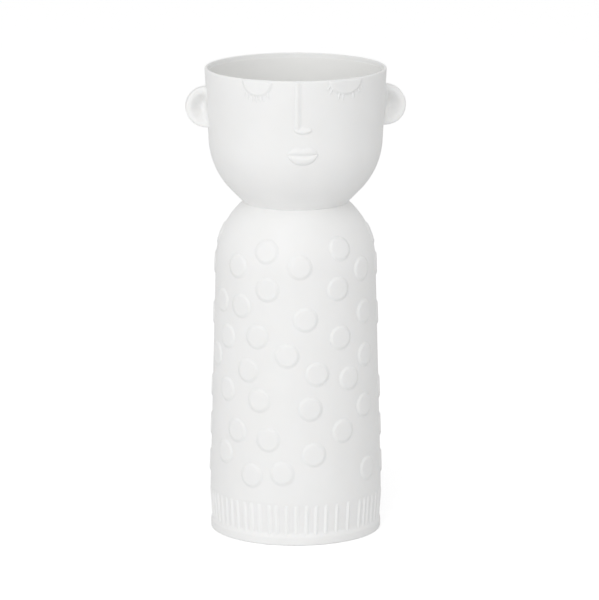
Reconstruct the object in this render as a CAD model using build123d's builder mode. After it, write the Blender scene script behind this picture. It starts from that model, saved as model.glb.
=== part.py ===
"""White porcelain face vase: a round-shouldered body that carries an open bowl with a sleeping face."""
import os
from math import acos, asin, atan2, cos, degrees, hypot, radians, sin, sqrt, tan

from build123d import *

os.makedirs("parts", exist_ok=True)

# Driving dimensions in millimetres. The vase stands on the ground at z = 0 and its face looks along -Y.
BODY_HEIGHT = 142.3  # ground to the seam at the neck
HEAD_HEIGHT = 57.7  # seam to the top of the lip
WALL = 2.8
GLAZE = 0.3
GLAZE_DROP = 2.0  # the glaze stops this far below the lip

# The body
NECK_RADIUS = 22.3
BODY_RADIUS = 36.7  # at the top of the ribbed hem
BODY_TAPER = 2.6  # the wall draws in by this much from there to the shoulder
FLOOR = 3.5
FLOOR_ROUND = 6.0

# The foot and the ribbed hem above it
FOOT_INSET = 0.2  # from the body's radius
FOOT_BAND = 3.4
FOOT_STEP = 1.9  # height over which the foot band draws in to the hem
FOOT_ROUND = 1.0
FOOT_RING = 5.5
FOOT_RECESS = 1.5
RECESS_ROUND = 0.6
HEM_INSET = 0.95  # from the body's radius, at the bottom of the hem
HEM_HEIGHT = 18.4
HEM_ROUND = 2.5
RIB_TOP = 18.0
RIB_WIDTH = 1.7
RIB_RELIEF = 0.45
RIB_SOFT = 0.4

# The head
RIM_RADIUS = 38.6
JAW_INSET = 2.3  # from the rim's radius, where the bowl's two straight runs would meet
JAW_RISE = 14.4
JAW_ROUND = 32.0
LIP_WALL = 1.2  # the bowl's wall thins to this at the lip
LIP_ROUND = 0.45

# The ears
EAR_RADIUS = 8.7
EAR_OUT = 0.4  # the ear's middle lies this far outside the bowl's side
EAR_DROP = 16.4  # lip to the ear's middle
EAR_THICKNESS = 6.0
EAR_EDGE = 1.5
EAR_DISH = 2.8
EAR_FLOOR = 2.5  # radius of the dish's flat middle
EAR_ROUND = 2.0

# The face. Drops are measured down from the lip.
EYE_TURN = 28.7  # degrees from the face's middle
LID_RADIUS = 7.0
LID_RELIEF = 0.55
LID_CORNER = 0.8
LID_SOFT = 0.35
LASH_GAP = 0.3
LASH_LENGTH = 3.2
LASH_WIDTH = 0.8
LASH_RELIEF = 0.4
LEFT_LASHES = (-54, -32, -20, -7, 6, 19, 62)  # degrees from straight down
RIGHT_LASHES = (-52, -26, -13, 6, 23, 48, 70)
NOSE_OFFSET = 2.5  # the ridge stands this far left of the face's middle
NOSE_WIDTH = 2.3
NOSE_DROP = 22.6
NOSE_REACH = 6.8  # width of the hook at the base
NOSE_TIP = 3.6  # height of the hook
NOSE_RELIEF = 1.2
NOSE_SOFT = 0.5
RIDGE_ROUNDING = 0.4  # corner radius as a share of the ridge's width
HOOK_ROUNDING = 0.6  # lower corners, as a share of the hook's height
HOOK_END_ROUNDING = 0.25
MOUTH_DROP = 31.6
MOUTH_HALF = 6.8
MOUTH_SMILE = 0.3  # the corners turn up by this much
LIP_GAP = 0.4
LIP_PEAK = 2.3  # sideways place of the two peaks of the upper lip
UPPER_LIP = 3.3
LIP_FULLNESS = 0.7  # share of the upper lip's height halfway from a peak to its corner
LIP_DIP = 0.8
LOWER_LIP = 4.5
LIP_RELIEF = 0.9
LIP_CORNER = 0.45
LIP_SOFT = 0.3

# The dots on the body
DOT_RADIUS = 5.0
DOT_RELIEF = 0.6
DOT_BEVEL = 0.6

# Half of the dots: degrees round from the face's middle, and how far up the plain wall, from hem to neck.
# The other half is the same pattern on the far side.
DOTS = (
    (-27, 0.87), (30, 0.875), (84, 0.89), (-51, 0.81), (-2, 0.82), (50, 0.795), (82, 0.785), (-25.5, 0.74),
    (26.5, 0.74), (-69, 0.68), (-47, 0.675), (2, 0.64), (52, 0.645), (84, 0.61), (-60.5, 0.56), (-33, 0.575),
    (28, 0.57), (-76, 0.485), (-11, 0.515), (52, 0.495), (-40, 0.455), (10, 0.45), (35, 0.425), (-60, 0.375),
    (-31, 0.355), (5, 0.33), (50, 0.32), (82, 0.35), (-49, 0.24), (-24, 0.22), (29, 0.245), (83, 0.215),
    (-61, 0.155), (7.5, 0.17), (52, 0.095), (83, 0.085), (-36, 0.09), (-14, 0.105),
)

# Half of the ribs: degrees round from the face's middle, at the uneven steps of hand work.
RIBS = (
    -87, -81, -75.5, -70, -64.5, -59, -53.5, -48, -41.5, -36, -30, -23, -18, -11,
    -4.5, 2.5, 9, 16, 24, 33, 43.5, 48.5, 53, 58.5, 65, 71, 77, 83,
)
HALVES = (0, 180)
FRONT = 90  # degrees from the face's middle to +X, where a turned profile starts

# Sizes that follow from the driving dimensions
TOTAL_HEIGHT = BODY_HEIGHT + HEAD_HEIGHT
SHOULDER_RADIUS = BODY_RADIUS - BODY_TAPER  # the shoulder is part of a sphere about the axis
FOOT_RADIUS = BODY_RADIUS - FOOT_INSET
HEM_RADIUS = BODY_RADIUS - HEM_INSET
JAW_RADIUS = RIM_RADIUS - JAW_INSET
REACH = 2 * max(BODY_RADIUS, RIM_RADIUS)  # long enough to cut through a wall from the axis
DRAFT = atan2(RIM_RADIUS - JAW_RADIUS, HEAD_HEIGHT - JAW_RISE)
CHIN_LEAN = atan2(JAW_RADIUS - NECK_RADIUS, JAW_RISE)
SHOULDER_CENTRE = BODY_HEIGHT - sqrt(SHOULDER_RADIUS**2 - NECK_RADIUS**2)
HEM_DROP = SHOULDER_CENTRE - HEM_HEIGHT
WALL_LEAN = acos(SHOULDER_RADIUS / hypot(BODY_RADIUS, HEM_DROP)) - atan2(HEM_DROP, BODY_RADIUS)
HEM_FOOT = FOOT_BAND + FOOT_STEP
LIP_FOOT = TOTAL_HEIGHT - LIP_ROUND  # where the lip's rounding starts on the outside


def wall_radius(height, inset=0.0):
    """Radius of the body's plain wall and shoulder at a height, moved inwards by inset."""
    reach = SHOULDER_RADIUS - inset
    rise = height - SHOULDER_CENTRE
    if rise < reach * sin(WALL_LEAN):
        return (reach - rise * sin(WALL_LEAN)) / cos(WALL_LEAN)
    return sqrt(reach**2 - rise**2)


def wall_plane(height):
    """Plane on the body's outside below the face's middle, its normal square to the wall."""
    lean = max(WALL_LEAN, asin(max(height - SHOULDER_CENTRE, 0) / SHOULDER_RADIUS))
    return Plane(
        origin=(0, -wall_radius(height), height), x_dir=(1, 0, 0), z_dir=(0, -cos(lean), sin(lean))
    )


def facing(turn):
    """Upright plane through the axis that looks outwards, turned from the face's middle."""
    angle = radians(turn)
    return Plane(origin=(0, 0, 0), x_dir=(cos(angle), sin(angle), 0), z_dir=(sin(angle), -cos(angle), 0))


def shoulder_start(inset):
    """Where the body's straight wall runs into the shoulder."""
    reach = SHOULDER_RADIUS - inset
    return (reach * cos(WALL_LEAN), SHOULDER_CENTRE + reach * sin(WALL_LEAN))


def head_wall(inset):
    """Neck, jaw and rim points of the bowl's wall, moved inwards by inset."""
    spread = 1 + cos(CHIN_LEAN - DRAFT)
    neck = (NECK_RADIUS - inset / cos(CHIN_LEAN), BODY_HEIGHT)
    jaw = (
        JAW_RADIUS - inset * (cos(DRAFT) + cos(CHIN_LEAN)) / spread,
        BODY_HEIGHT + JAW_RISE + inset * (sin(DRAFT) + sin(CHIN_LEAN)) / spread,
    )
    rim = (RIM_RADIUS - inset / cos(DRAFT), TOTAL_HEIGHT)
    return neck, jaw, rim


def hollow(inset):
    """The space inside the vase behind a wall of this thickness, which thins towards the lip."""
    floor = FOOT_RECESS + FLOOR + inset - WALL
    neck, jaw, _ = head_wall(inset)
    rim = head_wall(inset - WALL + LIP_WALL)[-1]
    with BuildPart() as space:
        with BuildSketch(Plane.XZ):
            with BuildLine():
                FilletPolyline(
                    (0, floor),
                    (wall_radius(floor, inset), floor),
                    shoulder_start(inset),
                    radius=FLOOR_ROUND + WALL - inset,
                )
                dome = CenterArc(
                    (0, SHOULDER_CENTRE), SHOULDER_RADIUS - inset, degrees(WALL_LEAN), 90 - degrees(WALL_LEAN)
                )
                Line(dome @ 1, (0, floor))
            make_face()
        revolve(axis=Axis.Z)
        split(bisect_by=Plane.XY.offset(BODY_HEIGHT), keep=Keep.BOTTOM)
        with BuildSketch(Plane.XZ):
            with BuildLine():
                FilletPolyline(
                    (0, SHOULDER_CENTRE),
                    (neck[0], SHOULDER_CENTRE),
                    neck,
                    jaw,
                    rim,
                    (0, TOTAL_HEIGHT),
                    radius=(0, 0, 0, JAW_ROUND - inset, 0, 0),
                    close=True,
                )
            make_face()
        revolve(axis=Axis.Z)
    return space.part


def body_skin(relief):
    """A skin over the outside of the body's plain wall and shoulder."""
    with BuildPart() as skin:
        with BuildSketch(Plane.XZ):
            with BuildLine():
                ends = []
                for inset in (0, -relief):
                    lower = (wall_radius(HEM_HEIGHT, inset), HEM_HEIGHT)
                    Line(lower, shoulder_start(inset))
                    arc_end = degrees(asin((BODY_HEIGHT - SHOULDER_CENTRE) / (SHOULDER_RADIUS - inset)))
                    shoulder = CenterArc(
                        (0, SHOULDER_CENTRE),
                        SHOULDER_RADIUS - inset,
                        degrees(WALL_LEAN),
                        arc_end - degrees(WALL_LEAN),
                    )
                    ends.append((lower, shoulder @ 1))
                Line(ends[0][0], ends[1][0])
                Line(ends[0][1], ends[1][1])
            make_face()
        revolve(axis=Axis.Z)
    return skin.part


def head_skin(relief):
    """A skin over the outside of the bowl."""
    with BuildPart() as skin:
        with BuildSketch(Plane.XZ):
            with BuildLine():
                inner = FilletPolyline(*head_wall(0), radius=JAW_ROUND)
                outer = FilletPolyline(*head_wall(-relief), radius=JAW_ROUND + relief)
                Line(inner @ 0, outer @ 0)
                Line(inner @ 1, outer @ 1)
            make_face()
        revolve(axis=Axis.Z)
    return skin.part


def front_edges(part, turn):
    """Edges of the face of a relief that looks outwards."""
    outwards = Axis((0, 0, 0), facing(turn).z_dir)
    return part.faces().sort_by(outwards)[-1].edges()


# The two vessels, filled: the hollow and everything that sits on a wall is cut with them
with BuildPart() as body_block:
    with BuildSketch(Plane.XZ):
        with BuildLine():
            FilletPolyline(
                (0, FOOT_RECESS),
                (FOOT_RADIUS - FOOT_RING, FOOT_RECESS),
                (FOOT_RADIUS - FOOT_RING, 0),
                (FOOT_RADIUS, 0),
                (FOOT_RADIUS, FOOT_BAND),
                (HEM_RADIUS, HEM_FOOT),
                (BODY_RADIUS, HEM_HEIGHT),
                shoulder_start(0),
                radius=(RECESS_ROUND, 0, 0, HEM_ROUND, HEM_ROUND, 0),
            )
            shoulder = CenterArc(
                (0, SHOULDER_CENTRE),
                SHOULDER_RADIUS,
                degrees(WALL_LEAN),
                degrees(acos(NECK_RADIUS / SHOULDER_RADIUS) - WALL_LEAN),
            )
            Polyline(shoulder @ 1, (0, BODY_HEIGHT), (0, FOOT_RECESS))
        make_face()
    revolve(axis=Axis.Z)
    fillet(faces().sort_by(Axis.Z)[0].outer_wire().edges(), FOOT_ROUND)
    fillet(faces().sort_by(Axis.Z)[0].inner_wires()[0].edges(), RECESS_ROUND)

with BuildPart() as head_block:
    with BuildSketch(Plane.XZ):
        with BuildLine():
            FilletPolyline(
                (0, BODY_HEIGHT),
                *head_wall(0),
                (0, TOTAL_HEIGHT),
                radius=(0, 0, JAW_ROUND, 0, 0),
                close=True,
            )
        make_face()
    revolve(axis=Axis.Z)

# Body: the lower vessel, open at the neck
with BuildPart() as body:
    add(body_block.part)
    add(hollow(WALL), mode=Mode.SUBTRACT)

# Head: the bowl, open at the top and into the body, with a rounded lip
with BuildPart() as head:
    add(head_block.part)
    add(hollow(WALL), mode=Mode.SUBTRACT)
    fillet(head.edges().group_by(Axis.Z)[-1], LIP_ROUND)

# Inner glaze: one coat from the floor, through the throat, to just under the lip
with BuildPart() as inner_glaze:
    add(hollow(WALL))
    add(hollow(WALL + GLAZE), mode=Mode.SUBTRACT)
    split(bisect_by=Plane.XY.offset(TOTAL_HEIGHT - GLAZE_DROP), keep=Keep.BOTTOM)

# Ears: dished discs that look forwards, cut to the bowl's side
ear_x = RIM_RADIUS - EAR_DROP * tan(DRAFT) + EAR_OUT
ear_middle = Plane(origin=(ear_x, 0, TOTAL_HEIGHT - EAR_DROP))
with BuildPart() as right_ear:
    with BuildSketch(ear_middle):
        with BuildLine():
            rim_edge = FilletPolyline(
                (0, EAR_THICKNESS / 2),
                (EAR_RADIUS, EAR_THICKNESS / 2),
                (EAR_RADIUS, -EAR_THICKNESS / 2),
                (EAR_RADIUS - EAR_EDGE, -EAR_THICKNESS / 2),
                radius=(EAR_ROUND, EAR_EDGE / 2),
            )
            floor = Line((0, EAR_DISH - EAR_THICKNESS / 2), (EAR_FLOOR, EAR_DISH - EAR_THICKNESS / 2))
            TangentArc(floor @ 1, rim_edge @ 1, tangent=(1, 0))
            Line(floor @ 0, rim_edge @ 0)
        make_face()
    revolve(axis=Axis(ear_middle.origin, (0, 1, 0)))
    add(head_block.part, mode=Mode.SUBTRACT)

with BuildPart() as left_ear:
    mirror(right_ear.part, about=Plane.YZ)


def eyelid(turn):
    """A half disc that hangs from the lip and follows the bowl's side."""
    half_width = sqrt(LID_RADIUS**2 - LIP_ROUND**2)
    with BuildPart() as lid:
        with BuildSketch(facing(turn)):
            with BuildLine():
                lower = ThreePointArc(
                    (-half_width, LIP_FOOT), (0, TOTAL_HEIGHT - LID_RADIUS), (half_width, LIP_FOOT)
                )
                Line(lower @ 1, lower @ 0)
            make_face()
            fillet(vertices(), LID_CORNER)
        extrude(amount=REACH)
        add(head_skin(LID_RELIEF), mode=Mode.INTERSECT)
        fillet(front_edges(lid, turn), LID_SOFT)
    return lid.part


def lashes(turn, angles):
    """A fan of thin ridges below an eyelid."""
    middle = LID_RADIUS + LASH_GAP + LASH_LENGTH / 2
    with BuildPart() as fan:
        with BuildSketch(facing(turn)):
            for angle in angles:
                place = (middle * sin(radians(angle)), TOTAL_HEIGHT - middle * cos(radians(angle)))
                with Locations(place):
                    SlotOverall(LASH_LENGTH, LASH_WIDTH, rotation=90 + angle)
        extrude(amount=REACH)
        add(head_skin(LASH_RELIEF), mode=Mode.INTERSECT)
    return fan.part


# Eyelids and lashes
with BuildPart() as left_eyelid:
    add(eyelid(-EYE_TURN))

with BuildPart() as right_eyelid:
    add(eyelid(EYE_TURN))

with BuildPart() as left_lashes:
    add(lashes(-EYE_TURN, LEFT_LASHES))

with BuildPart() as right_lashes:
    add(lashes(EYE_TURN, RIGHT_LASHES))

# Nose: a thin ridge from the lip that turns into a hook at its base
ridge_left = -NOSE_OFFSET - NOSE_WIDTH / 2
ridge_right = -NOSE_OFFSET + NOSE_WIDTH / 2
hook_right = ridge_left + NOSE_REACH
hook_bottom = TOTAL_HEIGHT - NOSE_DROP
hook_top = hook_bottom + NOSE_TIP
ridge_round = RIDGE_ROUNDING * NOSE_WIDTH
hook_round = HOOK_ROUNDING * NOSE_TIP
hook_end_round = HOOK_END_ROUNDING * NOSE_TIP
with BuildPart() as nose:
    with BuildSketch(facing(0)):
        with BuildLine():
            FilletPolyline(
                (ridge_left, LIP_FOOT),
                (ridge_left, hook_bottom),
                (hook_right, hook_bottom),
                (hook_right, hook_top),
                (ridge_right, hook_top),
                (ridge_right, LIP_FOOT),
                radius=(ridge_round, hook_round, hook_round, hook_end_round, ridge_round, ridge_round),
                close=True,
            )
        make_face()
    extrude(amount=REACH)
    add(head_skin(NOSE_RELIEF), mode=Mode.INTERSECT)
    fillet(front_edges(nose, 0), NOSE_SOFT)

# Lips: two crescents on either side of the mouth's line
mouth = TOTAL_HEIGHT - MOUTH_DROP
corner = mouth + MOUTH_SMILE
with BuildPart() as upper_lip:
    with BuildSketch(facing(0)):
        with BuildLine():
            line = ThreePointArc(
                (-MOUTH_HALF, corner + LIP_GAP / 2),
                (0, mouth + LIP_GAP / 2),
                (MOUTH_HALF, corner + LIP_GAP / 2),
            )
            peak = mouth + UPPER_LIP
            side = (MOUTH_HALF + LIP_PEAK) / 2
            flank = mouth + LIP_FULLNESS * UPPER_LIP
            ThreePointArc(line @ 0, (-side, flank), (-LIP_PEAK, peak))
            ThreePointArc((-LIP_PEAK, peak), (0, peak - LIP_DIP), (LIP_PEAK, peak))
            ThreePointArc(line @ 1, (side, flank), (LIP_PEAK, peak))
        make_face()
        fillet(vertices(), LIP_CORNER)
    extrude(amount=REACH)
    add(head_skin(LIP_RELIEF), mode=Mode.INTERSECT)
    fillet(front_edges(upper_lip, 0), LIP_SOFT)

with BuildPart() as lower_lip:
    with BuildSketch(facing(0)):
        with BuildLine():
            line = ThreePointArc(
                (-MOUTH_HALF, corner - LIP_GAP / 2),
                (0, mouth - LIP_GAP / 2),
                (MOUTH_HALF, corner - LIP_GAP / 2),
            )
            ThreePointArc(line @ 0, (0, mouth - LOWER_LIP), line @ 1)
        make_face()
        fillet(vertices(), LIP_CORNER)
    extrude(amount=REACH)
    add(head_skin(LIP_RELIEF), mode=Mode.INTERSECT)
    fillet(front_edges(lower_lip, 0), LIP_SOFT)

# Dots: bevelled discs scattered over the plain wall and shoulder, each bent to the wall under it
plain_wall = BODY_HEIGHT - HEM_HEIGHT
dot_skin = body_skin(DOT_RELIEF)


def dot(share):
    """The dot below the face's middle, this far up the plain wall."""
    reach = 2 * DOT_RELIEF  # both ends of the cone stay clear of the skin
    taper = 2 * DOT_BEVEL
    with BuildPart() as disc:
        with Locations(wall_plane(HEM_HEIGHT + share * plain_wall)):
            Cone(bottom_radius=DOT_RADIUS + taper, top_radius=DOT_RADIUS - taper, height=2 * reach)
        add(dot_skin, mode=Mode.INTERSECT)
    return disc.part


front_dots = [(turn, dot(share)) for turn, share in DOTS]
with BuildPart() as body_dots:
    for turn, disc in front_dots:
        with Locations(*[Location((0, 0, 0), (0, 0, turn + half)) for half in HALVES]):
            add(disc)

# Ribs: upright bevelled strips on the hem that die into the foot band
rib_lean = (BODY_RADIUS - HEM_RADIUS) / (HEM_HEIGHT - HEM_FOOT)
rib_arc = degrees(RIB_WIDTH / BODY_RADIUS)
crest_top = RIB_TOP - RIB_RELIEF
crest_foot_radius = HEM_RADIUS + RIB_RELIEF
crest_top_radius = crest_foot_radius + rib_lean * (crest_top - FOOT_BAND)
rib_back = HEM_RADIUS - RIB_RELIEF
with BuildPart() as rib:
    with BuildSketch(Plane.XZ):
        with BuildLine():
            Polyline(
                (crest_foot_radius, FOOT_BAND),
                (crest_top_radius, crest_top),
                (rib_back, crest_top + crest_top_radius - rib_back),
                (rib_back, FOOT_BAND),
                close=True,
            )
        make_face()
    revolve(axis=Axis.Z, revolution_arc=rib_arc)
    crest = rib.faces().sort_by(Axis.X)[-1]
    chamfer(crest.edges().sort_by(SortBy.LENGTH)[-2:], RIB_SOFT)
    add(body_block.part, mode=Mode.SUBTRACT)

with BuildPart() as hem_ribs:
    with Locations(*[Location((0, 0, 0), (0, 0, turn + half - FRONT)) for half in HALVES for turn in RIBS]):
        add(rib.part)

PIECES = {
    "body": body,
    "head": head,
    "inner_glaze": inner_glaze,
    "left_ear": left_ear,
    "right_ear": right_ear,
    "left_eyelid": left_eyelid,
    "right_eyelid": right_eyelid,
    "left_lashes": left_lashes,
    "right_lashes": right_lashes,
    "nose": nose,
    "upper_lip": upper_lip,
    "lower_lip": lower_lip,
    "body_dots": body_dots,
    "hem_ribs": hem_ribs,
}
for name, piece in PIECES.items():
    piece.part.label = name
    export_step(piece.part, f"parts/{name}.step")
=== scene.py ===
"""White porcelain face vase, matte outside and glazed inside, on a pale studio floor."""
from math import acos, asin, atan2, ceil, cos, hypot, pi, radians, sin, sqrt, tan

import bmesh
import bpy
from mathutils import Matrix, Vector


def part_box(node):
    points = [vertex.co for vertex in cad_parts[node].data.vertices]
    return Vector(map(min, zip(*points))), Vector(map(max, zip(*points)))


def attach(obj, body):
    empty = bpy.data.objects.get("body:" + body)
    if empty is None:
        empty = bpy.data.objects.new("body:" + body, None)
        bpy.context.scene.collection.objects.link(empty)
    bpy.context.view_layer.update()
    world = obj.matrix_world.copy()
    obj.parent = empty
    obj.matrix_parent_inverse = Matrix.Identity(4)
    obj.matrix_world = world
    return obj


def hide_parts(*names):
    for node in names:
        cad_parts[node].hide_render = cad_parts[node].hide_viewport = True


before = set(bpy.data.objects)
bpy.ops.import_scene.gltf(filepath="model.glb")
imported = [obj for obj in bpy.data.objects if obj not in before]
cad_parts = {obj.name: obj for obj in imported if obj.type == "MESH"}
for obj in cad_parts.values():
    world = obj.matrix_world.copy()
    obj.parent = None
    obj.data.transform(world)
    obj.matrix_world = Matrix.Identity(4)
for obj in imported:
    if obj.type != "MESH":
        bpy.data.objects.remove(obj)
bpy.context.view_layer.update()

MM = 0.001  # the vase's sizes are in millimetres, all others in metres

# Sizes of the two vessels, as in the solids but for a sharper foot
BODY_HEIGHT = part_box("body")[1].z / MM
TOTAL_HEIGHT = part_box("head")[1].z / MM
BODY_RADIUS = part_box("body")[1].x / MM
BODY_TAPER = 2.6  # the wall draws in by this much from the hem to the shoulder
NECK_RADIUS = 22.3
WALL = 2.8
FLOOR = 3.5
FLOOR_ROUND = 6.0
THROAT_ROUND = 1.6
FOOT_INSET = 0.2  # from the body's radius
FOOT_BAND = 3.4
FOOT_ROUND = 0.5
FOOT_RING = 5.5
FOOT_RECESS = 1.5
RECESS_ROUND = 0.6
HEM_INSET = 0.95  # from the body's radius, at the bottom of the hem
HEM_FOOT = 5.3
HEM_HEIGHT = 18.4
HEM_ROUND = 2.5
RIM_RADIUS = 38.6
JAW_INSET = 2.3  # from the rim's radius
JAW_RISE = 14.4
JAW_ROUND = 32.0
LIP_WALL = 1.2  # the bowl's wall thins to this at the lip
LIP_RISE = 0.6  # height of the lip's rounding
GLAZE = 0.3
GLAZE_DROP = 2.0  # the glaze ends this far below the lip

# The ears
EAR_RADIUS = 8.68
EAR_OUT = 0.4  # the ear's middle lies this far outside the bowl's side
EAR_DROP = 16.4
EAR_THICKNESS = 6.0
EAR_EDGE = 1.5
EAR_DISH = 4.4
EAR_FLOOR = 1.6  # radius of the dish's flat middle
EAR_BACK_ROUND = 2.0
EAR_BACK_EDGE = 2.5  # width of the rim at the back, with that rounding
EAR_FLARE = 2.0  # the soft join starts this far from the bowl
EAR_LAP = 1.2  # and widens the ear by this much on both sides
EAR_ROOT = 1.35  # the ear starts this far inside its middle, in the bowl's wall

# The face: places across are from the face's middle, drops are down from the lip
FACE_TOP = 0.36  # drop at which the lids and the nose start to rise from the lip
FACE_FULL = 0.84  # drop at which they have risen

# The eyes
EYES = (  # side, turn, half width, depth, places of the lashes in degrees from straight down
    ("left", radians(-29.7), 6.7, 6.7, (-46, -32, -14, -3, 9, 22, 40)),
    ("right", radians(28.7), 8.1, 6.3, (-70, -55, -24, -11, 24, 49, 65)),
)
LID_RELIEF = 0.58
LID_TOP = 0.6  # share of that relief at the lip
LID_EDGE = 0.22  # softness of the lid's edge, as a share of the lid's size
LASH_LENGTH = 3.4
LASH_HALF = 0.6
LASH_RELIEF = 0.33
LASH_LEAN = 0.5  # share of its place's angle that a lash leans by
LASH_TAPER = 0.5  # share of its length at which a lash starts to fade
LASH_TIP = 0.5  # share of its width that is left at the tip

# The nose: a thin ridge on a boat-shaped base
RIDGE_PLACE = -2.6
RIDGE_HALF = 1.9
RIDGE_RELIEF = 0.52
RIDGE_FADE = 2.0  # height over which the ridge dies into the base
BASE_PLACE = -0.1
BASE_HALF = 3.7
BASE_TOP = 19.1
BASE_FALL = 0.6  # the upper edge of the base falls by this much towards its ends
BASE_BOTTOM = 22.8
BASE_SAG = 1.2  # the ends of the base lie higher than its middle
BASE_RELIEF = 0.85
BASE_FULLNESS = 4  # how square the ends of the base are
BASE_SWELL = 0.85  # the base swells over this share of its height
BASE_ROLL = (0.4, 1, 2.5)  # and rolls under from this share to this one, at this power
NOSE_BLEND = 3  # how closely ridge and base keep to the higher of the two
NOSE_BESIDE = 0.2  # room for the mesh beside the nose
NOSE_BELOW = 0.8  # and below it

# The mouth
MOUTH_PLACE = -0.2
MOUTH_HALF = 6.7
MOUTH_DROP = 31.75
MOUTH_SMILE = 0.5
MOUTH_FULLNESS = 3.0  # how square the lips' outlines are
MOUTH_LEAST = 0.2  # height of the lips at the mouth's corners
UPPER_LIP = 4.2
UPPER_DIP = 0.9
DIP_WIDTH = 0.2  # share of the mouth's half width at which the dip has halved
UPPER_RELIEF = 0.58
UPPER_SWELL = 0.6  # the upper lip swells over this share of its height
UPPER_TUCK = 0.72  # and turns under from this share on
UPPER_ROOM = 0.2  # room for the mesh above and below the upper lip
LOWER_LIP = 4.6
LOWER_RELIEF = 1.0
LOWER_STEEP = 0.6  # share of its relief that the lower lip gains on the steep first stretch
LOWER_STEEP_END = 0.28  # that stretch ends at this share of its height
LOWER_GENTLE_END = 0.45  # and the gentle one at this share
LOWER_ROLL = (0.1, 0.92, 4)  # it rolls under from this share to this one, at this power
LOWER_ABOVE = 0.4  # room for the mesh above the mouth's line
LOWER_BELOW = 0.6  # and below the lower lip

# The dots and ribs on the body
DOT_RADIUS = 4.75
DOT_RELIEF = 0.57
DOT_SOFT = 0.9  # the edge falls over this much inside and outside the radius
RIB_HALF = 1.2
RIB_RELIEF = 0.42
RIB_FOOT = 3.8
RIB_TOP = 18.0

# Half of the dots: degrees round from the face's middle, and how far up the plain wall, from hem to neck
DOTS = (
    (-27, 0.87), (30, 0.875), (84, 0.89), (-51, 0.81), (-2, 0.82), (50, 0.795), (82, 0.785), (-25.5, 0.74),
    (26.5, 0.74), (-69, 0.68), (-47, 0.675), (2, 0.64), (52, 0.645), (84, 0.61), (-60.5, 0.56), (-33, 0.575),
    (28, 0.57), (-76, 0.485), (-11, 0.515), (52, 0.495), (-40, 0.455), (10, 0.45), (35, 0.425), (-60, 0.375),
    (-31, 0.355), (5, 0.33), (50, 0.32), (82, 0.35), (-49, 0.24), (-24, 0.22), (29, 0.245), (83, 0.215),
    (-61, 0.155), (7.5, 0.17), (52, 0.095), (83, 0.085), (-36, 0.09), (-14, 0.105),
)

# Half of the ribs: degrees round from the face's middle
RIBS = (
    -87, -81, -75.5, -70, -64.5, -59, -53.5, -48, -41.5, -36, -30, -23, -18, -11,
    -4.5, 2.5, 9, 16, 24, 33, 43.5, 48.5, 53, 58.5, 65, 71, 77, 83,
)
HALVES = (0, 180)  # the other half of both is the same, turned to the back

# Mesh fineness: steps around, along or across each form; grids are steps across and down
AROUND = 240
ARC_STEP = radians(4)
LEAST_ARC_STEPS = 2
CREASE = radians(38)
WALL_STEPS = 8
SHOULDER_STEPS = 24
INNER_SHOULDER_STEPS = 12
INNER_BOWL_STEPS = 40
HEAD_STEPS = 56
LIP_STEPS = 20
LID_GRID = (80, 48)
LASH_GRID = (8, 20)
NOSE_GRID = (56, 120)
UPPER_GRID = (88, 30)
LOWER_GRID = (88, 36)
EAR_TURNS = 64
DISH_STEPS = 24
EAR_BACK_STEPS = 8
DOT_AROUND = 40
DOT_TOP_RINGS = 4
DOT_EDGE_RINGS = 9
RIB_COLUMNS = 10
RIB_ROWS = 10
RIB_END_ROWS = 6
SINK = 0.02  # a relief's feathered edge ends this far under the wall
BED = 0.5  # a relief's hidden back lies this far under the wall

# Tones of the clay, the ribs and the glaze; the ribs' tones are lighter than the clay's as a painted
# highlight, standing in for the shade in the panels between them
PORCELAIN_LIGHT = (0.885, 0.885, 0.88, 1)
PORCELAIN_DARK = (0.865, 0.865, 0.858, 1)
# painted highlight: the ribs are lighter than the clay so that they stand out from the shaded panels between
# them
RIB_HIGHLIGHT_LIGHT = (0.925, 0.925, 0.92, 1)
RIB_HIGHLIGHT_DARK = (0.91, 0.91, 0.903, 1)
GLAZE_LIGHT = (0.9, 0.9, 0.887, 1)
GLAZE_DARK = (0.88, 0.88, 0.866, 1)
TONE_BAND = (0.35, 0.65)  # noise values between which the tone drifts from dark to light

# Surfaces: noises as features per metre and detail, bumps as depth in metres and strength
CLAY_DRIFT = (45, 3)
CLAY_GRAIN = (1900, 4)
CLAY_RIPPLE = (160, 2)
CLAY_ROUGHNESS = (0.5, 0.68)
CLAY_RIPPLE_BUMP = (0.00006, 0.35)
CLAY_GRAIN_BUMP = (0.00003, 0.3)
CLAY_SPECULAR = 0.35
CLAY_SUBSURFACE = 0.1
CLAY_SUBSURFACE_RADIUS = (1.0, 0.9, 0.8)
CLAY_SUBSURFACE_SCALE = 0.0015
GLAZE_DRIFT = (30, 3)
GLAZE_RIPPLE = (110, 2)
GLAZE_ROUGHNESS = (0.24, 0.36)
GLAZE_RIPPLE_BUMP = (0.0001, 0.4)

# Camera, fitted to the rim and the foot
CAMERA_TURN = radians(-5)
CAMERA_RISE = radians(12.13)
CAMERA_DISTANCE = 1.95
CAMERA_TARGET = 0.09898  # height that the camera looks at
CAMERA_ASIDE = 0.00164  # and how far that place lies to the camera's right
CAMERA_LENS = 273.5
SENSOR = 36  # width, in millimetres like the lens

# Light: a bright room, a large soft lamp low on the front left and a weaker one above the front
WHITE = (1, 1, 1, 1)
ROOM = 0.685
LAMP_SIZE = 1.6
LAMP_DISTANCE = 1.8
LAMPS = (  # name, power, turn from the front, rise
    ("key", 11.5, radians(-30), radians(10)),
    ("fill", 4.6, 0, radians(45)),
)

# Ground: pale, and white to the camera except in the vase's shadow
GROUND_HALF = 6.0
GROUND_COLOUR = (0.8, 0.8, 0.8, 1)
GROUND_ROUGHNESS = 0.9
GROUND_GLOW = 0.4

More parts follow.
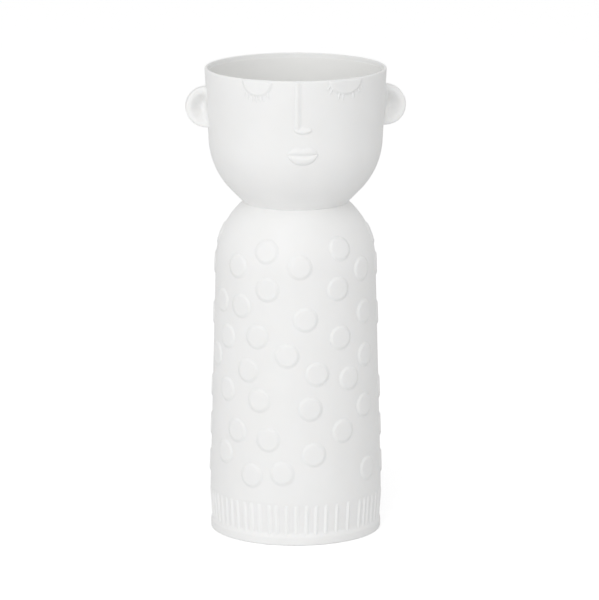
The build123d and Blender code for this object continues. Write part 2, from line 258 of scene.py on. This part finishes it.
# Sizes that follow
FOOT_RADIUS = BODY_RADIUS - FOOT_INSET
RECESS_RADIUS = FOOT_RADIUS - FOOT_RING
HEM_RADIUS = BODY_RADIUS - HEM_INSET
HEM_LEAN = atan2(BODY_RADIUS - HEM_RADIUS, HEM_HEIGHT - HEM_FOOT)
SHOULDER_RADIUS = BODY_RADIUS - BODY_TAPER
SHOULDER_CENTRE = BODY_HEIGHT - sqrt(SHOULDER_RADIUS**2 - NECK_RADIUS**2)
HEM_DROP = SHOULDER_CENTRE - HEM_HEIGHT
WALL_LEAN = acos(SHOULDER_RADIUS / hypot(BODY_RADIUS, HEM_DROP)) - atan2(HEM_DROP, BODY_RADIUS)
WALL_RUN = (HEM_DROP + SHOULDER_RADIUS * sin(WALL_LEAN)) / cos(WALL_LEAN)
SHOULDER_RUN = SHOULDER_RADIUS * (acos(NECK_RADIUS / SHOULDER_RADIUS) - WALL_LEAN)
JAW_RADIUS = RIM_RADIUS - JAW_INSET
SIDE_HEIGHT = TOTAL_HEIGHT - BODY_HEIGHT - JAW_RISE
DRAFT = atan2(RIM_RADIUS - JAW_RADIUS, SIDE_HEIGHT)
CHIN_LEAN = atan2(JAW_RADIUS - NECK_RADIUS, JAW_RISE)
JAW_TURN = CHIN_LEAN - DRAFT
JAW_REACH = JAW_ROUND * tan(JAW_TURN / 2)
SIDE_RUN = SIDE_HEIGHT / cos(DRAFT) - JAW_REACH
CHIN_RUN = JAW_RISE / cos(CHIN_LEAN) - JAW_REACH
HEAD_RUN = SIDE_RUN + JAW_ROUND * JAW_TURN + CHIN_RUN
THINNING_RUN = SIDE_RUN + JAW_REACH  # the bowl's wall thins over this stretch below the lip
DOT_INNER = DOT_RADIUS - DOT_SOFT
DOT_OUTER = DOT_RADIUS + DOT_SOFT


# The vase's walls

def steps(start, end, count):
    """Evenly spaced numbers, both ends included."""
    return [start + (end - start) * i / count for i in range(count + 1)]


def rise(value, low, high):
    """Smooth step from 0 at low to 1 at high."""
    share = min(max((value - low) / (high - low), 0), 1)
    return share * share * (3 - 2 * share)


def roll(value, low, high, power):
    """Falls from 1 at low to 0 at high, ever more steeply."""
    share = min(max((value - low) / (high - low), 0), 1)
    return 1 - share**power


def ridge_shape(share):
    """A rounded ridge: 1 in its middle, 0 at its feet, where the share is 1 or -1."""
    return cos(pi / 2 * share) ** 2


def body_wall(along):
    """Radius, height and lean of the body's wall, followed upwards from the hem to the neck."""
    if along < WALL_RUN:
        return BODY_RADIUS - along * sin(WALL_LEAN), HEM_HEIGHT + along * cos(WALL_LEAN), WALL_LEAN
    lean = WALL_LEAN + (along - WALL_RUN) / SHOULDER_RADIUS
    return SHOULDER_RADIUS * cos(lean), SHOULDER_CENTRE + SHOULDER_RADIUS * sin(lean), lean


def head_wall(drop):
    """Radius, height and lean of the bowl's wall, followed downwards from the lip to the neck."""
    if drop < SIDE_RUN:
        return RIM_RADIUS - drop * sin(DRAFT), TOTAL_HEIGHT - drop * cos(DRAFT), -DRAFT
    turn = min((drop - SIDE_RUN) / JAW_ROUND, JAW_TURN)
    lean = -DRAFT - turn
    straight = drop - SIDE_RUN - JAW_ROUND * turn
    radius = RIM_RADIUS - SIDE_RUN * sin(DRAFT) - JAW_ROUND * (cos(DRAFT) - cos(lean))
    height = TOTAL_HEIGHT - SIDE_RUN * cos(DRAFT) + JAW_ROUND * (sin(DRAFT) + sin(lean))
    return radius + straight * sin(lean), height - straight * cos(lean), lean


def hem_wall(along):
    """Radius, height and lean of the hem's wall, followed upwards and carried on behind the foot band."""
    return HEM_RADIUS + along * sin(HEM_LEAN), HEM_FOOT + along * cos(HEM_LEAN), -HEM_LEAN


def section(wall, along, lift):
    """A point of a wall's outline, lifted off the wall."""
    radius, height, lean = wall(along)
    return radius + lift * cos(lean), height + lift * sin(lean)


def spot(wall, along, turn, lift):
    """A place on a round wall, turned from the face's middle and lifted off the wall."""
    radius, height = section(wall, along, lift)
    return radius * sin(turn), -radius * cos(turn), height


def bowl_inset(inset, drop):
    """The inset of the bowl's inside, which comes closer to the outside towards the lip."""
    return inset - (WALL - LIP_WALL) * max(0, 1 - drop / THINNING_RUN)


def rounded(corners):
    """Points of an outline with corners (across, up, rounding) drawn as arcs."""
    points = [corners[0][:2]]
    for before, here, after in zip(corners, corners[1:], corners[2:]):
        corner = Vector(here[:2])
        rounding = here[2]
        inwards = (corner - Vector(before[:2])).normalized()
        outwards = (Vector(after[:2]) - corner).normalized()
        turn = inwards.angle_signed(outwards)
        if not rounding or abs(turn) < ARC_STEP:
            points.append(here[:2])
            continue
        start = corner - inwards * rounding * tan(abs(turn) / 2)
        side = Vector((-inwards.y, inwards.x)) * (-rounding if turn > 0 else rounding)
        count = max(LEAST_ARC_STEPS, ceil(abs(turn) / ARC_STEP))
        for angle in steps(0, abs(turn), count):
            swing = side * (1 - cos(angle)) + inwards * rounding * sin(angle)
            points.append(tuple(start + swing))
    points.append(corners[-1][:2])
    return points


# Meshes

class Shape:
    """Points and faces of one mesh, gathered from closed shells."""

    def __init__(self):
        self.points = []
        self.faces = []

    def add(self, points, faces):
        first = len(self.points)
        self.points += points
        self.faces += [tuple(first + index for index in face) for face in faces]


def add_object(name, data):
    """Puts an object into the scene."""
    thing = bpy.data.objects.new(name, data)
    bpy.context.scene.collection.objects.link(thing)
    return thing


def finish_piece(name, shape, slot, node):
    """Makes a smooth piece from a shape; it rides with the vase and stands for a node of the solids."""
    mesh = bpy.data.meshes.new(name)
    mesh.from_pydata([tuple(c * MM for c in point) for point in shape.points], [], shape.faces)
    work = bmesh.new()
    work.from_mesh(mesh)
    bmesh.ops.recalc_face_normals(work, faces=work.faces)
    work.to_mesh(mesh)
    work.free()
    mesh.polygons.foreach_set("use_smooth", [True] * len(mesh.polygons))
    mesh.set_sharp_from_angle(angle=CREASE)
    mesh.materials.append(MATERIALS[slot])
    piece = add_object(name, mesh)
    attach(piece, "root")
    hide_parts(node)
    return piece


def lathe(outline, closed):
    """A turned shell. An open outline starts and ends on the axis, a closed one is a ring."""
    shape = Shape()
    turns = [2 * pi * i / AROUND for i in range(AROUND)]
    ring = outline if closed else outline[1:-1]
    for radius, height in ring:
        shape.points += [(radius * sin(turn), -radius * cos(turn), height) for turn in turns]
    rows = len(ring)
    for row in range(rows if closed else rows - 1):
        low = row * AROUND
        high = (row + 1) % rows * AROUND
        for i in range(AROUND):
            j = (i + 1) % AROUND
            shape.faces.append((low + i, low + j, high + j, high + i))
    if not closed:
        poles = len(shape.points)
        shape.points += [(0, 0, outline[0][1]), (0, 0, outline[-1][1])]
        last = (rows - 1) * AROUND
        for i in range(AROUND):
            j = (i + 1) % AROUND
            shape.faces.append((poles, j, i))
            shape.faces.append((poles + 1, last + i, last + j))
    return shape


def relief(shape, wall, places, lifts):
    """Adds a closed patch that rises from a wall: rows of (along, turn) places and their lifts."""
    order = {}
    points = []
    faces = []
    uses = {}

    def corner(row, column):
        """The number of a grid point on the front; the one behind it has the next number."""
        if (row, column) not in order:
            order[row, column] = len(points)
            along, turn = places[row][column]
            points.append(spot(wall, along, turn, lifts[row][column] - SINK))
            points.append(spot(wall, along, turn, -BED))
        return order[row, column]

    for row in range(len(places) - 1):
        for column in range(len(places[0]) - 1):
            square = [(row, column), (row, column + 1), (row + 1, column + 1), (row + 1, column)]
            if max(lifts[i][j] for i, j in square) <= 0:
                continue
            loop = [corner(i, j) for i, j in square]
            faces.append(tuple(loop))
            faces.append(tuple(index + 1 for index in reversed(loop)))
            for first, second in zip(loop, loop[1:] + loop[:1]):
                uses[first, second] = True
    for first, second in uses:
        if (second, first) not in uses:
            faces.append((second, first, first + 1, second + 1))
    shape.add(points, faces)


# The two vessels and the glaze

def inside_outline(inset):
    """The inside of the vase behind a wall of this thickness, from the floor's middle to the lip."""
    floor = FOOT_RECESS + FLOOR + inset - WALL
    corner = BODY_RADIUS - (floor - HEM_HEIGHT) * tan(WALL_LEAN) - inset / cos(WALL_LEAN)
    wall_top = section(body_wall, WALL_RUN, -inset)
    floor_corners = [(0, floor, 0), (corner, floor, FLOOR_ROUND), (*wall_top, 0)]
    throat = NECK_RADIUS - inset / cos(CHIN_LEAN)
    top_lean = acos(throat / (SHOULDER_RADIUS - inset))
    shoulder = [
        section(body_wall, WALL_RUN + (lean - WALL_LEAN) * SHOULDER_RADIUS, -inset)
        for lean in steps(WALL_LEAN, top_lean - ARC_STEP, INNER_SHOULDER_STEPS)
    ]
    bowl_start = HEAD_RUN - CHIN_RUN / 2
    throat_top = section(head_wall, bowl_start, -inset)
    throat_corners = [(*shoulder[-1], 0), (throat, BODY_HEIGHT, THROAT_ROUND), (*throat_top, 0)]
    drops = steps(bowl_start, GLAZE_DROP, INNER_BOWL_STEPS)
    bowl = [section(head_wall, drop, -bowl_inset(inset, drop)) for drop in drops]
    return rounded(floor_corners) + shoulder[1:] + rounded(throat_corners)[1:-1] + bowl


def build_body():
    """The lower vessel: foot ring, band, hem, wall, shoulder and neck."""
    foot = rounded([
        (0, FOOT_RECESS, 0),
        (RECESS_RADIUS, FOOT_RECESS, RECESS_ROUND),
        (RECESS_RADIUS, 0, RECESS_ROUND),
        (FOOT_RADIUS, 0, FOOT_ROUND),
        (FOOT_RADIUS, FOOT_BAND, HEM_ROUND),
        (HEM_RADIUS, HEM_FOOT, HEM_ROUND),
        (BODY_RADIUS, HEM_HEIGHT, HEM_ROUND),
        (*section(body_wall, WALL_RUN / 2, 0), 0),
    ])
    upper_wall = steps(WALL_RUN / 2, WALL_RUN, WALL_STEPS)[1:]
    wall = [section(body_wall, along, 0) for along in upper_wall]
    shoulder_steps = steps(0, SHOULDER_RUN, SHOULDER_STEPS)[1:]
    shoulder = [section(body_wall, WALL_RUN + along, 0) for along in shoulder_steps]
    throat = (NECK_RADIUS - WALL / cos(CHIN_LEAN), BODY_HEIGHT)
    inside = [point for point in inside_outline(WALL) if point[1] < BODY_HEIGHT]
    outline = foot + wall + shoulder + [throat] + inside[::-1]
    finish_piece("vessel_body", lathe(outline, False), "porcelain", "body")


def build_head():
    """The bowl, with a rounded lip."""
    outside = [section(head_wall, drop, 0) for drop in steps(LIP_RISE, HEAD_RUN, HEAD_STEPS)]
    drops = steps(HEAD_RUN, LIP_RISE, HEAD_STEPS)
    inside = [section(head_wall, drop, -bowl_inset(WALL, drop)) for drop in drops]
    half = bowl_inset(WALL, LIP_RISE) / 2
    middle = RIM_RADIUS - LIP_RISE * sin(DRAFT) - half
    lip = [
        (middle - half * cos(angle), TOTAL_HEIGHT - LIP_RISE * (1 - sin(angle)))
        for angle in steps(0, pi, LIP_STEPS)[1:-1]
    ]
    finish_piece("vessel_head", lathe(outside + inside + lip, True), "porcelain", "head")


def build_glaze():
    """One coat from the floor, through the throat, to just under the lip."""
    back = inside_outline(WALL)
    face = inside_outline(WALL + GLAZE)
    finish_piece("glaze_coat", lathe(back + face[::-1], False), "glaze", "inner_glaze")


# The face

def from_lip(drop):
    """A relief rises from nothing just under the lip."""
    return rise(drop, FACE_TOP, FACE_FULL)


def face_place(turn, across, drop):
    """A place on the bowl, this far across from a turn and this far below the lip."""
    return drop, turn + across / head_wall(drop)[0]


def face_relief(name, node, turn, across, drops, lift_at):
    """A piece of the face: lift_at(across, drop) is its height over the bowl's side."""
    places = [[face_place(turn, x, drop) for x in across] for drop in drops]
    lifts = [[lift_at(x, drop) for x in across] for drop in drops]
    shape = Shape()
    relief(shape, head_wall, places, lifts)
    finish_piece(name, shape, "porcelain", node)


def build_lid(side, turn, half, depth):
    """A closed lid: half an oval that hangs from the lip."""

    def lid_lift(across, drop):
        reach = hypot(across / half, drop / depth)
        thickness = LID_RELIEF * (LID_TOP + (1 - LID_TOP) * reach)
        return thickness * (1 - rise(reach, 1 - LID_EDGE / 2, 1 + LID_EDGE / 2)) * from_lip(drop)

    columns = steps(-half * (1 + LID_EDGE), half * (1 + LID_EDGE), LID_GRID[0])
    rows = steps(FACE_TOP, depth * (1 + LID_EDGE), LID_GRID[1])
    face_relief(side + "_lid_relief", side + "_eyelid", turn, columns, rows, lid_lift)


def add_lash(shape, turn, half, depth, angle):
    """Adds one lash: a thin ridge that starts on the lid's edge and fades towards its tip."""
    lean = angle * LASH_LEAN
    places = []
    lifts = []
    for along in steps(0, LASH_LENGTH, LASH_GRID[1]):
        left = 1 - rise(along, LASH_LENGTH * LASH_TAPER, LASH_LENGTH)
        width = LASH_HALF * (LASH_TIP + (1 - LASH_TIP) * left)
        offsets = steps(-width, width, LASH_GRID[0])
        drops = [depth * cos(angle) + along * cos(lean) - offset * sin(lean) for offset in offsets]
        across = [half * sin(angle) + along * sin(lean) + offset * cos(lean) for offset in offsets]
        places.append([face_place(turn, x, drop) for x, drop in zip(across, drops)])
        lifts.append([LASH_RELIEF * left * ridge_shape(offset / width) for offset in offsets])
    relief(shape, head_wall, places, lifts)


def build_eye(side, turn, half, depth, lash_places):
    """One closed eye: the lid and its lashes."""
    build_lid(side, turn, half, depth)
    shape = Shape()
    for degree in lash_places:
        add_lash(shape, turn, half, depth, radians(degree))
    finish_piece(side + "_lash_relief", shape, "porcelain", side + "_lashes")


def nose_lift(across, drop):
    """A thin ridge from the lip that lands on a boat-shaped base."""
    flank = min(abs(across - RIDGE_PLACE) / RIDGE_HALF, 1)
    ridge_end = BASE_BOTTOM - BASE_SAG
    ridge = RIDGE_RELIEF * ridge_shape(flank) * from_lip(drop)
    ridge *= 1 - rise(drop, ridge_end - RIDGE_FADE, ridge_end)
    share = (across - BASE_PLACE) / BASE_HALF
    if abs(share) >= 1:
        return ridge
    high = BASE_TOP + BASE_FALL * share**2
    low = BASE_BOTTOM - BASE_SAG * share**2
    depth = (drop - high) / (low - high)
    swell = rise(depth, 0, BASE_SWELL) * roll(depth, *BASE_ROLL)
    base = BASE_RELIEF * sqrt(1 - share**BASE_FULLNESS) * swell
    return (ridge**NOSE_BLEND + base**NOSE_BLEND) ** (1 / NOSE_BLEND)


def build_nose():
    """Ridge and base in one piece."""
    half = BASE_HALF + NOSE_BESIDE
    columns = steps(BASE_PLACE - half, BASE_PLACE + half, NOSE_GRID[0])
    rows = steps(FACE_TOP, BASE_BOTTOM + NOSE_BELOW, NOSE_GRID[1])
    face_relief("nose_relief", "nose", 0, columns, rows, nose_lift)


def mouth_line(across):
    """How far a place lies towards the mouth's corner, and the drop of the mouth's line there."""
    share = min(abs(across - MOUTH_PLACE) / MOUTH_HALF, 1)
    return share, MOUTH_DROP - MOUTH_SMILE * share**2


def upper_lip_lift(across, drop):
    """The upper lip: a roll with two peaks that turns under to the mouth's line."""
    share, line = mouth_line(across)
    dip = UPPER_DIP * 2 ** -((share / DIP_WIDTH) ** 2)
    height = max((UPPER_LIP - dip) * (1 - share**MOUTH_FULLNESS), MOUTH_LEAST)
    depth = (drop - line + height) / height
    swell = rise(depth, 0, UPPER_SWELL)
    return UPPER_RELIEF * sqrt(1 - share**2) * swell * (1 - rise(depth, UPPER_TUCK, 1))


def lower_lip_lift(across, drop):
    """The lower lip: it slopes out from the mouth's line and turns under at its lower edge."""
    share, line = mouth_line(across)
    height = max(LOWER_LIP * (1 - share**MOUTH_FULLNESS), MOUTH_LEAST)
    depth = (drop - line) / height
    steep = LOWER_STEEP * rise(depth, 0, LOWER_STEEP_END)
    gentle = (1 - LOWER_STEEP) * rise(depth, 0, LOWER_GENTLE_END)
    return LOWER_RELIEF * sqrt(1 - share**2) * (steep + gentle) * roll(depth, *LOWER_ROLL)


def build_mouth():
    """The two lips, which meet at the mouth's line."""
    corners = (MOUTH_PLACE - MOUTH_HALF, MOUTH_PLACE + MOUTH_HALF)
    columns = steps(*corners, UPPER_GRID[0])
    rows = steps(MOUTH_DROP - UPPER_LIP - UPPER_ROOM, MOUTH_DROP + UPPER_ROOM, UPPER_GRID[1])
    face_relief("upper_lip_relief", "upper_lip", 0, columns, rows, upper_lip_lift)
    columns = steps(*corners, LOWER_GRID[0])
    rows = steps(MOUTH_DROP - MOUTH_SMILE - LOWER_ABOVE, MOUTH_DROP + LOWER_LIP + LOWER_BELOW, LOWER_GRID[1])
    face_relief("lower_lip_relief", "lower_lip", 0, columns, rows, lower_lip_lift)


# The ears

def build_ear(side, sign):
    """A dished half disc with a thin rim that runs softly into the bowl's side."""
    front = -EAR_THICKNESS / 2
    inner = EAR_RADIUS - EAR_EDGE
    back_inner = EAR_RADIUS - EAR_BACK_EDGE
    middle = RIM_RADIUS - EAR_DROP * tan(DRAFT) + EAR_OUT
    rim = rounded([
        (inner, front, 0),
        (EAR_RADIUS, front, EAR_EDGE / 2),
        (EAR_RADIUS, -front, EAR_BACK_ROUND),
        (back_inner, -front, 0),
    ])

    def ray_to(reach, angle):
        """Length of the ray from the ear's root to a circle about its middle."""
        return EAR_ROOT * cos(angle) + sqrt(reach**2 - (EAR_ROOT * sin(angle)) ** 2)

    def place(angle, ray, depth, root):
        """A point on a ray, drawn to the root's depth where the ear meets the wall."""
        height = TOTAL_HEIGHT - EAR_DROP + ray * sin(angle)
        across = middle - EAR_ROOT + ray * cos(angle)
        radius = RIM_RADIUS - (TOTAL_HEIGHT - height) * tan(DRAFT)
        gap = EAR_FLARE - (across - sqrt(radius**2 - depth**2))
        flare = 1 - sqrt(1 - min(max(gap / EAR_FLARE, 0), 1) ** 2)
        return sign * across, depth + (root - depth) * flare, height

    def section_at(angle):
        """One section of the ear: the dish, the rim and the flat back."""
        points = []
        for share in steps(0, 1, DISH_STEPS)[1:-1]:
            ray = share * ray_to(inner, angle)
            reach = hypot(ray * cos(angle) - EAR_ROOT, ray * sin(angle))
            depth = front + EAR_DISH * (1 - rise(reach, EAR_FLOOR, inner))
            points.append(place(angle, ray, depth, front - EAR_LAP))
        for reach, depth in rim:
            points.append(place(angle, ray_to(reach, angle), depth, depth * (1 - EAR_LAP / front)))
        for share in steps(1, 0, EAR_BACK_STEPS)[1:-1]:
            points.append(place(angle, share * ray_to(back_inner, angle), -front, EAR_LAP - front))
        return points

    sections = [section_at(angle) for angle in steps(-pi / 2, pi / 2, EAR_TURNS)]
    count = len(sections[0])
    points = [point for row in sections for point in row]
    front_root = len(points)
    back_root = front_root + 1
    cap_middle = front_root + 2
    points.append(place(0, 0, front, front - EAR_LAP))
    points.append(place(0, 0, -front, EAR_LAP - front))
    points.append(place(0, 0, 0, 0))
    faces = []
    for row in range(EAR_TURNS):
        low = row * count
        high = low + count
        faces.append((front_root, low, high))
        faces.append((back_root, high + count - 1, low + count - 1))
        faces += [(low + i, low + i + 1, high + i + 1, high + i) for i in range(count - 1)]
    for first in (0, front_root - count):
        loop = [front_root, *range(first, first + count), back_root]
        faces += [(cap_middle, *pair) for pair in zip(loop, loop[1:])]
    shape = Shape()
    shape.add(points, faces)
    finish_piece(side + "_ear_soft", shape, "porcelain", side + "_ear")


# The dots and the ribs

def dot_along(share):
    """How far along the body's wall a dot lies, from its share of the wall's height."""
    height = HEM_HEIGHT + share * (BODY_HEIGHT - HEM_HEIGHT)
    along = (height - HEM_HEIGHT) / cos(WALL_LEAN)
    if along <= WALL_RUN:
        return along
    lean = asin((height - SHOULDER_CENTRE) / SHOULDER_RADIUS)
    return WALL_RUN + SHOULDER_RADIUS * (lean - WALL_LEAN)


def dot_spot(along, middle, reach, angle, lift):
    """A place on a dot, in polar steps from its middle."""
    up = along + reach * sin(angle)
    return spot(body_wall, up, middle + reach * cos(angle) / body_wall(up)[0], lift)


def add_dot(shape, along, middle):
    """Adds one closed dot: its top, its soft edge and its hidden back."""
    reaches = steps(0, DOT_INNER, DOT_TOP_RINGS)[1:] + steps(DOT_INNER, DOT_OUTER, DOT_EDGE_RINGS)[1:]
    angles = [2 * pi * i / DOT_AROUND for i in range(DOT_AROUND)]
    points = [spot(body_wall, along, middle, DOT_RELIEF - SINK)]
    for reach in reaches:
        lift = DOT_RELIEF * (1 - rise(reach, DOT_INNER, DOT_OUTER)) - SINK
        points += [dot_spot(along, middle, reach, angle, lift) for angle in angles]
    points += [dot_spot(along, middle, reaches[-1], angle, -BED) for angle in angles]
    faces = [(0, 1 + i, 1 + (i + 1) % DOT_AROUND) for i in range(DOT_AROUND)]
    for ring in range(len(reaches)):
        low = 1 + ring * DOT_AROUND
        high = low + DOT_AROUND
        for i in range(DOT_AROUND):
            j = (i + 1) % DOT_AROUND
            faces.append((low + i, high + i, high + j, low + j))
    last = len(points) - 1
    faces.append(tuple(range(last, last - DOT_AROUND, -1)))
    shape.add(points, faces)


def build_dots():
    """Round dots with soft edges, scattered over the wall and shoulder."""
    shape = Shape()
    for half in HALVES:
        for degree, share in DOTS:
            add_dot(shape, dot_along(share), radians(degree + half))
    finish_piece("dot_relief", shape, "porcelain", "body_dots")


def build_ribs():
    """Rounded ribs on the hem that die into the foot band."""
    shape = Shape()
    low = (RIB_FOOT - HEM_FOOT) / cos(HEM_LEAN)
    high = (RIB_TOP - HEM_FOOT) / cos(HEM_LEAN)
    rows = steps(low, high - RIB_HALF, RIB_ROWS) + steps(high - RIB_HALF, high, RIB_END_ROWS)[1:]
    offsets = steps(-RIB_HALF, RIB_HALF, RIB_COLUMNS)
    heights = [RIB_RELIEF * (1 - rise(row, high - 2 * RIB_HALF, high)) for row in rows]
    lifts = [[height * ridge_shape(offset / RIB_HALF) for offset in offsets] for height in heights]
    for half in HALVES:
        for degree in RIBS:
            turn = radians(degree + half)
            places = [[(row, turn + offset / hem_wall(row)[0]) for offset in offsets] for row in rows]
            relief(shape, hem_wall, places, lifts)
    ribs = finish_piece("rib_relief", shape, "porcelain", "hem_ribs")
    # the ribs wear the lighter copy of the clay, a painted highlight against the shaded panels between them
    ribs.data.materials[0] = rib_highlight


# Materials

def new_material(name):
    """An empty node material with its shader and an object-space position."""
    material = bpy.data.materials.new(name)
    material.use_nodes = True
    nodes = material.node_tree.nodes
    place = nodes.new("ShaderNodeTexCoord")
    return material, nodes, material.node_tree.links, nodes["Principled BSDF"], place.outputs["Object"]


def noise(nodes, links, place, scale, detail):
    """A noise texture over the object's position, scale in features per metre."""
    texture = nodes.new("ShaderNodeTexNoise")
    texture.inputs["Scale"].default_value = scale
    texture.inputs["Detail"].default_value = detail
    links.new(place, texture.inputs["Vector"])
    return texture.outputs["Fac"]


def tint(nodes, links, value, dark, light):
    """A colour that drifts between two near tones."""
    ramp = nodes.new("ShaderNodeValToRGB")
    for element, position, colour in zip(ramp.color_ramp.elements, TONE_BAND, (dark, light)):
        element.position = position
        element.color = colour
    links.new(value, ramp.inputs["Fac"])
    return ramp.outputs["Color"]


def spread(nodes, links, value, low, high):
    """Maps a noise value to a range."""
    mapped = nodes.new("ShaderNodeMapRange")
    mapped.inputs["To Min"].default_value = low
    mapped.inputs["To Max"].default_value = high
    links.new(value, mapped.inputs["Value"])
    return mapped.outputs["Result"]


def bump(nodes, links, value, depth, strength, normal=None):
    """A bump of this depth in metres, on top of another if one is given."""
    node = nodes.new("ShaderNodeBump")
    node.inputs["Distance"].default_value = depth
    node.inputs["Strength"].default_value = strength
    links.new(value, node.inputs["Height"])
    if normal:
        links.new(normal, node.inputs["Normal"])
    return node.outputs["Normal"]


def porcelain_material(name, dark, light):
    """Unglazed white porcelain: matte, finely grained, with a faint drift of tone."""
    material, nodes, links, shader, place = new_material(name)
    drift = noise(nodes, links, place, *CLAY_DRIFT)
    grain = noise(nodes, links, place, *CLAY_GRAIN)
    ripple = noise(nodes, links, place, *CLAY_RIPPLE)
    links.new(tint(nodes, links, drift, dark, light), shader.inputs["Base Color"])
    links.new(spread(nodes, links, grain, *CLAY_ROUGHNESS), shader.inputs["Roughness"])
    soft = bump(nodes, links, ripple, *CLAY_RIPPLE_BUMP)
    links.new(bump(nodes, links, grain, *CLAY_GRAIN_BUMP, soft), shader.inputs["Normal"])
    shader.inputs["Specular IOR Level"].default_value = CLAY_SPECULAR
    shader.inputs["Subsurface Weight"].default_value = CLAY_SUBSURFACE
    shader.inputs["Subsurface Radius"].default_value = CLAY_SUBSURFACE_RADIUS
    shader.inputs["Subsurface Scale"].default_value = CLAY_SUBSURFACE_SCALE
    return material


def glaze_material():
    """Clear satin glaze over the white clay, slightly warm and gently rippled."""
    material, nodes, links, shader, place = new_material("satin_glaze")
    drift = noise(nodes, links, place, *GLAZE_DRIFT)
    ripple = noise(nodes, links, place, *GLAZE_RIPPLE)
    links.new(tint(nodes, links, drift, GLAZE_DARK, GLAZE_LIGHT), shader.inputs["Base Color"])
    links.new(spread(nodes, links, drift, *GLAZE_ROUGHNESS), shader.inputs["Roughness"])
    links.new(bump(nodes, links, ripple, *GLAZE_RIPPLE_BUMP), shader.inputs["Normal"])
    return material


# Camera, light and ground

def way_to(turn, lift):
    """The direction from the vase to a place in front of it, turned sideways and lifted."""
    return Vector((sin(turn) * cos(lift), -cos(turn) * cos(lift), sin(lift)))


def aim(thing, way, distance):
    """Puts a camera or lamp at a distance, facing the place that the camera looks at."""
    sideways = Vector((cos(CAMERA_TURN), sin(CAMERA_TURN), 0))
    target = sideways * CAMERA_ASIDE + Vector((0, 0, CAMERA_TARGET))
    thing.location = target + way * distance
    thing.rotation_euler = way.to_track_quat("Z", "Y").to_euler()


def build_camera():
    """A long lens, above the rim and a little to the left."""
    data = bpy.data.cameras.new("camera")
    data.lens = CAMERA_LENS
    data.sensor_width = SENSOR
    camera = add_object("camera", data)
    aim(camera, way_to(CAMERA_TURN, CAMERA_RISE), CAMERA_DISTANCE)
    bpy.context.scene.camera = camera


def build_lamps():
    """Large square lamps that face the vase."""
    for name, power, turn, lift in LAMPS:
        data = bpy.data.lights.new(name, "AREA")
        data.energy = power
        data.size = LAMP_SIZE
        aim(add_object(name, data), way_to(turn, lift), LAMP_DISTANCE)


def build_room():
    """Even light from all around, seen as plain white by the camera and in reflections."""
    world = bpy.data.worlds.new("room")
    bpy.context.scene.world = world
    world.use_nodes = True
    nodes = world.node_tree.nodes
    links = world.node_tree.links
    room = nodes["Background"]
    room.inputs["Color"].default_value = WHITE
    room.inputs["Strength"].default_value = ROOM
    backdrop = nodes.new("ShaderNodeBackground")
    backdrop.inputs["Color"].default_value = WHITE
    path = nodes.new("ShaderNodeLightPath")
    seen = path.outputs["Is Camera Ray"]
    for ray in ("Is Glossy Ray", "Is Transmission Ray"):
        either = nodes.new("ShaderNodeMath")
        either.operation = "MAXIMUM"
        links.new(seen, either.inputs[0])
        links.new(path.outputs[ray], either.inputs[1])
        seen = either.outputs[0]
    mixed = nodes.new("ShaderNodeMixShader")
    links.new(seen, mixed.inputs["Fac"])
    links.new(room.outputs["Background"], mixed.inputs[1])
    links.new(backdrop.outputs["Background"], mixed.inputs[2])
    links.new(mixed.outputs["Shader"], nodes["World Output"].inputs["Surface"])


def floor_material():
    """Pale paper with a glow that only the camera sees."""
    material, nodes, links, shader, _ = new_material("floor_paper")
    shader.inputs["Base Color"].default_value = GROUND_COLOUR
    shader.inputs["Roughness"].default_value = GROUND_ROUGHNESS
    path = nodes.new("ShaderNodeLightPath")
    level = nodes.new("ShaderNodeMath")
    level.operation = "MULTIPLY"
    level.inputs[1].default_value = GROUND_GLOW
    links.new(path.outputs["Is Camera Ray"], level.inputs[0])
    glow = nodes.new("ShaderNodeEmission")
    links.new(level.outputs[0], glow.inputs["Strength"])
    both = nodes.new("ShaderNodeAddShader")
    links.new(shader.outputs["BSDF"], both.inputs[0])
    links.new(glow.outputs["Emission"], both.inputs[1])
    links.new(both.outputs["Shader"], nodes["Material Output"].inputs["Surface"])
    return material


def build_floor():
    """A wide square under the vase."""
    mesh = bpy.data.meshes.new("floor")
    corners = [Vector((x, y, 0)) * GROUND_HALF for x, y in ((-1, -1), (1, -1), (1, 1), (-1, 1))]
    mesh.from_pydata(corners, [], [(0, 1, 2, 3)])
    floor = add_object("floor", mesh)
    mesh.materials.append(floor_material())


bisque = porcelain_material("porcelain_bisque", PORCELAIN_DARK, PORCELAIN_LIGHT)
# a lighter copy of the clay for the ribs: a painted highlight for the light the ribs catch against the shade
# between them
rib_highlight = porcelain_material("porcelain_rib_highlight", RIB_HIGHLIGHT_DARK, RIB_HIGHLIGHT_LIGHT)
MATERIALS = {"porcelain": bisque, "glaze": glaze_material()}

build_body()
build_head()
build_glaze()
for eye in EYES:
    build_eye(*eye)
build_nose()
build_mouth()
build_ear("left", -1)
build_ear("right", 1)
build_dots()
build_ribs()

build_camera()
build_room()
build_lamps()
build_floor()

bpy.context.scene.view_settings.view_transform = "Standard"
